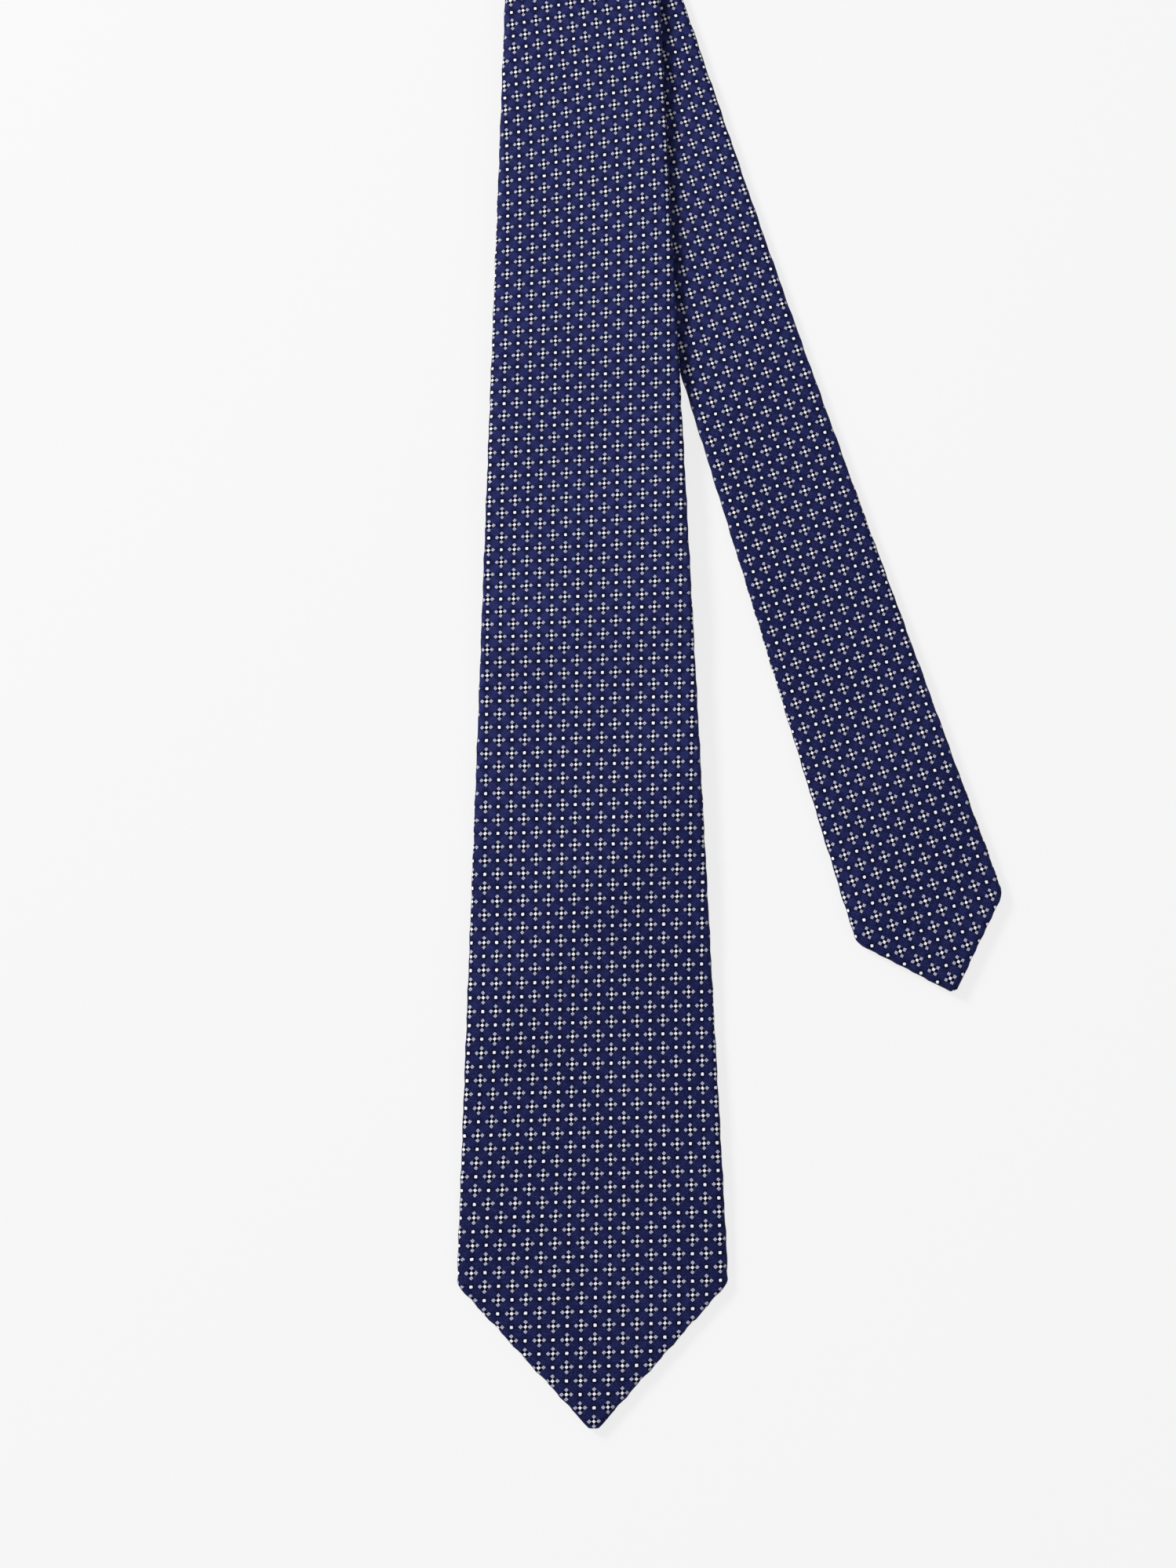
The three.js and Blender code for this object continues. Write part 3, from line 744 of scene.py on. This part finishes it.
def woven_material(name, color, rough, thread=0.25, contrast=0.35, sheen=0.03, satin=False):
    """Plain or satin cloth in one colour, with its threads as colour and relief."""
    mat, tree, shader = material(name, rough, specular=0.18, sheen=sheen)
    s, u, cloth = uv_xy(tree, "cloth")
    turn = 2 * math.pi / thread
    if satin:
        weave = (s + u * 0.12).math("MULTIPLY", turn).math("SINE") * 0.5 + 0.5
    else:
        crossed = s.math("MULTIPLY", turn).math("SINE") * u.math("MULTIPLY", turn).math("SINE")
        weave = crossed * 0.5 + 0.5
    mottle = noise(tree, cloth, 0.8, 3.0, 0.6)
    dark = tuple(c * (1 - contrast) for c in color)
    light = tuple(min(1.0, c * (1 + contrast * 0.6)) for c in color)
    shade = mix_color(tree, weave * 0.6 + mottle * 0.4, dark, light)
    tree.links.new(shade, shader.inputs["Base Color"])
    relief = weave * 0.6 + mottle * 0.6
    bump = node(tree, "ShaderNodeBump", Strength=0.5, Distance=0.00010)
    tree.links.new(relief.socket, bump.inputs["Height"])
    tree.links.new(bump.outputs["Normal"], shader.inputs["Normal"])
    return mat


def fuzzy_material():
    """Brushed interlining: pale, matt and hairy."""
    mat, tree, shader = material("brushed_interlining", 0.95, specular=0.1, sheen=0.4)
    _, _, cloth = uv_xy(tree, "cloth")
    hair = noise(tree, cloth, 1.6, 5.0, 0.7)
    shade = mix_color(tree, hair, (0.50, 0.47, 0.38), (0.78, 0.75, 0.66))
    tree.links.new(shade, shader.inputs["Base Color"])
    bump = node(tree, "ShaderNodeBump", Strength=0.8, Distance=0.0003)
    tree.links.new(hair.socket, bump.inputs["Height"])
    tree.links.new(bump.outputs["Normal"], shader.inputs["Normal"])
    return mat


def thread_material():
    """Twisted silk thread."""
    mat, tree, shader = material("silk_thread", 0.5, specular=0.4, sheen=0.2)
    s, u, _ = uv_xy(tree, "cloth")
    twist = (s * 1.0 + u * 1.0).math("MULTIPLY", 2 * math.pi).math("SINE") * 0.5 + 0.5
    shade = mix_color(tree, twist, (0.010, 0.011, 0.038), (0.045, 0.048, 0.125))
    tree.links.new(shade, shader.inputs["Base Color"])
    bump = node(tree, "ShaderNodeBump", Strength=0.6, Distance=0.00005)
    tree.links.new(twist.socket, bump.inputs["Height"])
    tree.links.new(bump.outputs["Normal"], shader.inputs["Normal"])
    return mat


FLOOR_GREY = 0.12
FLOOR_GLOW = 0.785


def floor_material():
    """A pale sheet lit through from below, as a photographer's light table is."""
    mat, tree, shader = material("pale_floor", 0.9, specular=0.02)
    where = node(tree, "ShaderNodeTexCoord")
    fine = noise(tree, where.outputs["Object"], 3.0, 3.0)
    shade = mix_color(tree, fine, (FLOOR_GREY,) * 3, (FLOOR_GREY + 0.002,) * 3)
    tree.links.new(shade, shader.inputs["Base Color"])
    shader.inputs["Emission Color"].default_value = (1, 1, 1, 1)
    shader.inputs["Emission Strength"].default_value = FLOOR_GLOW
    return mat


SILK_CLOTH = silk_material()
NAVY_SATIN = (0.010, 0.012, 0.046)
DARK_SATIN = (0.008, 0.009, 0.022)
TAPE_WHITE = (0.74, 0.73, 0.70)
SATIN = woven_material("navy_satin_tipping", NAVY_SATIN, 0.30, thread=0.22, contrast=0.6, satin=True)
LABEL_CLOTH = woven_material("blank_label_satin", DARK_SATIN, 0.34, thread=0.3, contrast=0.5, satin=True)
CARE_CLOTH = woven_material("care_label_tape", TAPE_WHITE, 0.6, thread=0.35)
FUZZ = fuzzy_material()
THREAD_SILK = thread_material()


# --- Cloth pieces --------------------------------------------------------------------------------
def dress(obj, mat):
    obj.data.materials.append(mat)
    return obj


def flat_size(obj, low, high):
    """Width and length of the rectangle that the piece was cut from."""
    loops = obj.data.uv_layers["cloth"].uv
    values = np.empty(len(loops) * 2, np.float32)
    loops.foreach_get("vector", values)
    s = values[0::2]
    return float(s.max() - s.min()) * MM, float(high - low) * MM


def declare(obj, low, high):
    width, length = flat_size(obj, low, high)


def place(v, u, n=0.0):
    return tuple(float(c) for c in lay_out(v, u, n))


# Where each piece of cloth meets a joint: from one body to the other, and the ends of the stretch between
# them.
RIGHT_AXIS = Vector(JOINTS["right_neck_fold"]["axis"])
RIGHT_AT = Vector(JOINTS["right_neck_fold"]["pos_m"])
LEFT_AT = Vector(JOINTS["left_neck_fold"]["pos_m"])
UP = Vector((0, 0, 1))
FOLD_TILT = 0.03
RIGHT_BLEND = 0.95  # above and below the fold's axis
LEFT_BLEND = 1.5
BLADE_BLEND = (BLADE_BEND + 32, BLADE_BEND - 32)  # along the tie
TAIL_BLEND = (TAIL_BEND - 22, TAIL_BEND + 22)


def right_fold_blend():
    """Upwards through the roll of the right fold, tilted a little so that the whole leg stays past it."""
    direction = (UP - RIGHT_AXIS * FOLD_TILT).normalized()
    return RIGHT_AT - direction * RIGHT_BLEND * MM, RIGHT_AT + direction * RIGHT_BLEND * MM


def left_fold_blend():
    """Straight up through the roll of the left fold."""
    return LEFT_AT - UP * LEFT_BLEND * MM, LEFT_AT + UP * LEFT_BLEND * MM


def blade_blend():
    return [place(0, u) for u in BLADE_BLEND]


def tail_blend():
    return [place(0, u) for u in TAIL_BLEND]


BLENDS = {
    "blade": ("neck_right", "blade", blade_blend),
    "neck_right": ("neck_run", "neck_right", right_fold_blend),
    "neck_left": ("neck_left", "neck_run", left_fold_blend),
    "tail": ("neck_left", "tail", tail_blend),
}


def bend(obj, where):
    body_a, body_b, ends = BLENDS[where]
    start, end = ends()
    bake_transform(obj)


def silk_piece(name, rows, slants, lattice_of, where, nodes):
    obj = cloth_solid(name, rows, silk_path, lattice_of, slants)
    dress(obj, SILK_CLOTH)
    declare(obj, rows.min(), rows.max())
    bend(obj, where)
    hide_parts(*nodes)
    return obj


HALF_GAP = 0.05  # half of what is left between two lengths of silk
STEP = 2.6
FOLD_STEP = 1.3
BLADE_SLANT_FROM = 470
TAIL_SLANT_LENGTH = 90
RIGHT_FOLD_END = RIGHT_FOLD["at"] + RIGHT_FOLD["length"]
LEFT_FOLD_END = LEFT_FOLD["at"] + LEFT_FOLD["length"]


def make_silk():
    blade_rows = point_rows(0, BLADE_SEAM - HALF_GAP, STEP, True)
    blade_slant = -SEAM_SLANT * smooth(blade_rows, BLADE_SLANT_FROM, BLADE_SEAM)
    silk_piece("silk_blade", blade_rows, blade_slant, blade_lattice, "blade",
               ["blade_shell", "blade_shell_top"])
    right_rows = rows_between(BLADE_SEAM + HALF_GAP, RUN_MIDDLE, FOLD_STEP)
    right_slant = np.where(
        right_rows < RIGHT_FOLD["at"],
        slanted(BLADE_SEAM, RIGHT_FOLD["at"], -SEAM_SLANT, RIGHT_FOLD["skew"], right_rows),
        RIGHT_FOLD["skew"] * (1 - smooth(right_rows, RIGHT_FOLD_END, RUN_MIDDLE)),
    )
    silk_piece("silk_neck_right", right_rows, right_slant, blade_lattice, "neck_right",
               ["neck_shell_right", "neck_fold_right"])
    left_rows = rows_between(RUN_MIDDLE, TAIL_SEAM - HALF_GAP, FOLD_STEP)
    left_slant = np.where(
        left_rows < LEFT_FOLD_END,
        LEFT_FOLD["skew"] * smooth(left_rows, RUN_MIDDLE, LEFT_FOLD["at"]),
        slanted(LEFT_FOLD_END, TAIL_SEAM, LEFT_FOLD["skew"], SEAM_SLANT, left_rows),
    )
    silk_piece("silk_neck_left", left_rows, left_slant, blade_lattice, "neck_left",
               ["neck_shell_left", "neck_fold_left", "neck_shell_run"])
    tail_rows = point_rows(TAIL_SEAM + HALF_GAP, TIE_LENGTH, STEP, False)
    tail_slant = SEAM_SLANT * (1 - smooth(tail_rows, TAIL_SEAM, TAIL_SEAM + TAIL_SLANT_LENGTH))
    silk_piece("silk_tail", tail_rows, tail_slant, tail_lattice, "tail",
               ["tail_shell", "tail_shell_top"])


CORE_GAP = 0.3
CORE_STEP = 4
CORE_FOLD_STEP = 1.5
CORE_COLUMNS = 13


def core_slant(rows, fold, start, end):
    """Rows that come to lie along a fold and are square again at start and end."""
    before = smooth(rows, start, fold["at"])
    after = 1 - smooth(rows, fold["at"] + fold["length"], end)
    return fold["skew"] * np.where(rows < fold["at"], before, after)


def core_piece(name, low, high, where, nodes, fold=None, start=0, end=0):
    rows = rows_between(low, high, CORE_FOLD_STEP if fold else CORE_STEP)
    path = flat_path(INSIDE_MARGIN, 0, INTERLINING, CORE_COLUMNS)
    slant = core_slant(rows, fold, start, end) if fold else 0.0
    obj = cloth_solid(name, rows, path, blade_lattice, slant)
    dress(obj, FUZZ)
    declare(obj, low, high)
    bend(obj, where)
    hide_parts(*nodes)


def make_interlining():
    core_piece("interlining_blade", POINT_INSET, BLADE_SEAM, "blade", ["blade_interlining"])
    core_piece("interlining_right", BLADE_SEAM + CORE_GAP, RUN_MIDDLE, "neck_right",
               ["interlining_neck_right", "interlining_fold_right"],
               RIGHT_FOLD, BLADE_SEAM, RUN_MIDDLE)
    core_piece("interlining_left", RUN_MIDDLE, TAIL_SEAM, "neck_left",
               ["interlining_neck_left", "interlining_fold_left", "interlining_run"],
               LEFT_FOLD, RUN_MIDDLE, TAIL_SEAM)
    core_piece("interlining_tail", TAIL_SEAM + CORE_GAP, TIE_LENGTH - POINT_INSET, "tail",
               ["tail_interlining"])


TIPPING_COLUMNS = 33
BLADE_TIPPING_PAST = 14  # how far the tipping goes on under the closed seam
TAIL_TIPPING_PAST = 12


def make_tippings():
    path = flat_path(INSIDE_MARGIN, TIPPING_MID, TIPPING, TIPPING_COLUMNS)
    blade_end = BLADE_CLOSED + BLADE_TIPPING_PAST
    tail_start = TAIL_CLOSED - TAIL_TIPPING_PAST
    spans = {
        "tipping_blade": (POINT_INSET, blade_end, "blade", "blade_tipping"),
        "tipping_tail": (tail_start, TIE_LENGTH - POINT_INSET, "tail", "tail_tipping"),
    }
    for name, (low, high, body, node_name) in spans.items():
        obj = cloth_solid(name, rows_between(low, high, 2), path, blade_lattice)
        dress(obj, SATIN)
        declare(obj, low, high)
        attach(obj, body)
        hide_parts(node_name)


# --- Threads -------------------------------------------------------------------------------------
TACK_THREAD = 0.13
STITCH_THREAD = 0.11
TACK_BARS = 6
TACK_PITCH = 0.34
TWIST = 1.6  # turns of the thread's own twist per millimetre


def tubes(name, lines, radius, sides=6):
    """One mesh of round threads; each line is an array of points (v, u, n)."""
    verts, faces, cloth = [], [], []
    for line in lines:
        line = np.asarray(line, float)
        tangent = np.gradient(line, axis=0)
        tangent /= np.linalg.norm(tangent, axis=1)[:, None]
        up = np.where(np.abs(tangent[:, 2:3]) > 0.9, [[1.0, 0, 0]], [[0, 0, 1.0]])
        side = np.cross(tangent, up)
        side /= np.linalg.norm(side, axis=1)[:, None]
        over = np.cross(side, tangent)
        angle = np.linspace(0, 2 * math.pi, sides, endpoint=False)
        ring = side[:, None, :] * np.cos(angle)[None, :, None]
        ring = ring + over[:, None, :] * np.sin(angle)[None, :, None]
        points = line[:, None, :] + radius * ring
        base = sum(len(v) for v in verts)
        verts.append(lay_out(points[..., 0], points[..., 1], points[..., 2]).reshape(-1, 3))
        length = np.concatenate([[0], np.cumsum(np.linalg.norm(np.diff(line, axis=0), axis=1))])
        turn = np.broadcast_to(angle / (2 * math.pi), (len(line), sides))
        twist = np.broadcast_to(length[:, None] * TWIST, turn.shape)
        cloth.append(np.stack([turn, twist], -1).reshape(-1, 2))
        faces.append(grid_faces(len(line), sides) + base)
    co = np.concatenate(verts)
    faces = np.concatenate(faces)
    obj = new_object(name, co, faces, {"cloth": np.concatenate(cloth)})
    if signed_volume(co, faces) < 0:
        obj.data.flip_normals()
    return dress(obj, THREAD_SILK)


def slip_line(low, high):
    """A long loose stitch that dips in and out of the pocket beside the left flap's edge."""
    u = rows_between(low, high, 0.8)
    v = STITCH_ACROSS + 0.25 * np.sin(u * 2 * math.pi / 11)
    n = FLAP_MID + 0.05 + 0.08 * np.sin(u * 2 * math.pi / 5.5)
    return np.stack([v, u, n], -1)


def make_slip_stitches():
    right_end = RIGHT_FOLD["at"] + STITCH_ACROSS * RIGHT_FOLD["skew"]
    left_end = LEFT_FOLD["at"] + STITCH_ACROSS * LEFT_FOLD["skew"]
    blade_start = BLADE_CLOSED + TACK_ABOVE
    tail_end = TAIL_CLOSED - TACK_ABOVE
    past_right = right_end + RIGHT_FOLD["length"] + 1
    past_left = left_end + LEFT_FOLD["length"] + 1
    runs = {
        "slip_thread_blade": (blade_start, BLADE_SEAM, "blade", ["slip_stitch_blade"]),
        "slip_thread_right": (BLADE_SEAM + 0.5, right_end - 1, "neck_right", ["slip_stitch_neck_right"]),
        "slip_thread_run": (past_right, left_end - 1, None, ["slip_stitch_run"]),
        "slip_thread_left": (past_left, TAIL_SEAM - 0.5, "neck_left", ["slip_stitch_neck_left"]),
        "slip_thread_tail": (TAIL_SEAM + 0.5, tail_end, "tail", ["slip_stitch_tail"]),
    }
    for name, (low, high, where, nodes) in runs.items():
        obj = tubes(name, [slip_line(low, high)], THREAD)
        if where is None:
            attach(obj, "neck_run")
        else:
            bend(obj, where)
        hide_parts(*nodes)


def make_tacks():
    """Bar tacks: threads laid side by side over the end of each back seam."""
    places = {
        "tack_blade": (BLADE_CLOSED + TACK_ABOVE, "blade", "blade_bar_tack"),
        "tack_tail": (TAIL_CLOSED - TACK_ABOVE - TACK_LENGTH, "tail", "tail_bar_tack"),
    }
    mid = LAP_FACE - GAP - TACK_THICKNESS / 2
    for name, (low, body, node_name) in places.items():
        v = np.linspace(-TACK_SPAN, TACK_SPAN, 25)
        lines = []
        for i in range(TACK_BARS):
            u = low + TACK_LENGTH * (i + 0.5) / TACK_BARS + 0.05 * np.sin(v * 3 + i)
            sunk = 0.28 * np.clip(np.abs(v) - TACK_SPAN + 0.7, 0, 1)
            n = mid + 0.02 * np.cos(v * 5 + 2 * i) + sunk
            lines.append(np.stack([v, u, n], -1))
        bars = rows_between(-TACK_SPAN + 0.5, TACK_SPAN - 0.5, TACK_PITCH)
        t = np.linspace(-1, 1, 7)
        for x in bars:
            u = low + TACK_LENGTH / 2 + t * (TACK_LENGTH / 2 + 0.15)
            n = mid - 0.10 * (1 - t * t) + 0.02
            lines.append(np.stack([x + 0 * t, u, n], -1))
        obj = tubes(name, lines, TACK_THREAD)
        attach(obj, body)
        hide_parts(node_name)


# --- Small pieces on the back --------------------------------------------------------------------
LABEL_THICKNESS = 0.2
LABEL_LIP = 0.3
BAND_STEP = 0.8
STITCH_INSET = 1.2
CARE_STITCH = 1.3
CARE_STITCH_PITCH = 1.9


def band(name, low, high, points, thick, mat, body, node_name, lip=0.5):
    path = strip_path(points, thick, lip=lip)
    obj = cloth_solid(name, rows_between(low, high, BAND_STEP), path, blade_lattice)
    dress(obj, mat)
    declare(obj, low, high)
    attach(obj, body)
    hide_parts(node_name)
    return obj


def stitch_row(name, low, high, v, n, body, node_name, pitch=2.2):
    """Small stitches in a row along the tie."""
    lines = []
    for start in np.arange(low, high - pitch * 0.5, pitch):
        t = np.linspace(0, 1, 7)
        u = start + t * pitch * 0.72
        rise = n - 0.12 * np.sin(math.pi * t) + 0.08
        lines.append(np.stack([v + 0.12 * np.sin(start) + 0 * t, u, rise], -1))
    obj = tubes(name, lines, STITCH_THREAD)
    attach(obj, body)
    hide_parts(node_name)


def make_back_pieces():
    end = FLAP_FACE - GAP - KEEPER_THICKNESS / 2
    mid = LAP_FACE - KEEPER_SLACK - KEEPER_THICKNESS / 2
    span = KEEPER_SPAN
    points = [(-span, end), (-span + 3, end), (-span + 6, mid), (span - 6, mid), (span - 3, end), (span, end)]
    band("keeper_band", KEEPER_FROM, KEEPER_TOP, points, KEEPER_THICKNESS, SILK_CLOTH, "blade",
         "keeper_loop")
    side = FLAP_FACE - GAP - LABEL_THICKNESS / 2
    low = LAP_FACE - GAP - LABEL_THICKNESS / 2
    step_over = LAP + LAP_MARGIN + LAP_SLOPE + 1
    span = LABEL_SPAN
    points = [(-span, side), (-span + 4, side), (-9, low), (step_over, low), (span - 4, side), (span, side)]
    label_top = LABEL_FROM + LABEL_HEIGHT
    band("label_blank", LABEL_FROM, label_top, points, LABEL_THICKNESS, LABEL_CLOTH, "blade",
         "blank_label", lip=LABEL_LIP)
    care_low = TAIL_CLOSED - CARE_FROM
    points = [(-CARE_OUTER, side), (-CARE_INNER, side)]
    band("label_care", care_low, care_low + CARE_HEIGHT, points, LABEL_THICKNESS, CARE_CLOTH,
         "tail", "care_label", lip=LABEL_LIP)
    keeper_n = end - KEEPER_THICKNESS / 2 - 0.1
    for word, sign in (("left", -1), ("right", 1)):
        v = sign * (KEEPER_SPAN - STITCH_INSET)
        stitch_row(f"keeper_stitches_{word}", KEEPER_FROM + 1, KEEPER_TOP - 1, v, keeper_n,
                   "blade", f"keeper_tack_{word}", 1.6)
        v = sign * (LABEL_SPAN - STITCH_INSET)
        stitch_row(f"label_stitches_{word}", LABEL_FROM + 1, label_top - 1, v, side - 0.2,
                   "blade", f"label_stitch_{word}")
    care_top = care_low + CARE_HEIGHT - 1.5
    lines = []
    for start in np.arange(1 - CARE_OUTER, -CARE_INNER - 1.5, CARE_STITCH_PITCH):
        t = np.linspace(0, 1, 7)
        n = side - 0.12 - 0.1 * np.sin(math.pi * t)
        lines.append(np.stack([start + CARE_STITCH * t, care_top + 0 * t, n], -1))
    obj = tubes("care_stitches", lines, STITCH_THREAD)
    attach(obj, "tail")
    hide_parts("care_label_stitch")


make_silk()
make_interlining()
make_tippings()
make_slip_stitches()
make_tacks()
make_back_pieces()


# --- Floor, light and camera ---------------------------------------------------------------------
FLOOR_HALF = 12.0
FLOOR_BELOW = 0.0002


def make_floor():
    signs = np.array([(-1, -1), (1, -1), (1, 1), (-1, 1)])
    corners = np.column_stack([signs * FLOOR_HALF, np.full(4, -FLOOR_BELOW)])
    floor = new_object("floor", corners, [[0, 1, 2, 3]])
    floor.data.materials.append(floor_material())


def area_light(name, where, aim, size, watts):
    light = bpy.data.lights.new(name, "AREA")
    light.shape = "DISK"
    light.size = size
    light.energy = watts
    obj = bpy.data.objects.new(name, light)
    obj.location = where
    obj.rotation_euler = (Vector(aim) - Vector(where)).to_track_quat("-Z", "Y").to_euler()
    bpy.context.scene.collection.objects.link(obj)


VIEW_UP = 178.5 * MM  # the view's middle lies this far above the wide tip
VIEW_SIDE = -1.6 * MM
VIEW_HEIGHT = 434 * MM
CAMERA_DISTANCE = 1.2
SENSOR_HEIGHT = 24
WORLD_STRENGTH = 0.38
# Each lamp: place from the view's middle, size in metres and watts
LAMPS = {
    "key": ((-1.15, 0.95, 1.2), 0.55, 40),
    "fill": ((1.0, -0.9, 1.7), 1.4, 7),
}
MIDDLE = Vector(place(0, 0)) + Vector((VIEW_SIDE, VIEW_UP, 0))


def make_camera():
    camera = bpy.data.cameras.new("camera")
    camera.sensor_fit = "VERTICAL"
    camera.sensor_height = SENSOR_HEIGHT
    camera.lens = camera.sensor_height * CAMERA_DISTANCE / VIEW_HEIGHT
    camera.clip_start = 0.01
    obj = bpy.data.objects.new("camera", camera)
    obj.location = (MIDDLE.x, MIDDLE.y, CAMERA_DISTANCE + 4 * MM)
    bpy.context.scene.collection.objects.link(obj)
    bpy.context.scene.camera = obj


def make_light():
    world = bpy.data.worlds.new("studio")
    world.use_nodes = True
    background = world.node_tree.nodes["Background"]
    background.inputs["Color"].default_value = (1, 1, 1, 1)
    background.inputs["Strength"].default_value = WORLD_STRENGTH
    bpy.context.scene.world = world
    for name, (offset, size, watts) in LAMPS.items():
        where = (MIDDLE.x + offset[0], MIDDLE.y + offset[1], offset[2])
        area_light(name, where, (MIDDLE.x, MIDDLE.y, 0), size, watts)
    bpy.context.scene.view_settings.view_transform = "Standard"


make_floor()
make_camera()
make_light()
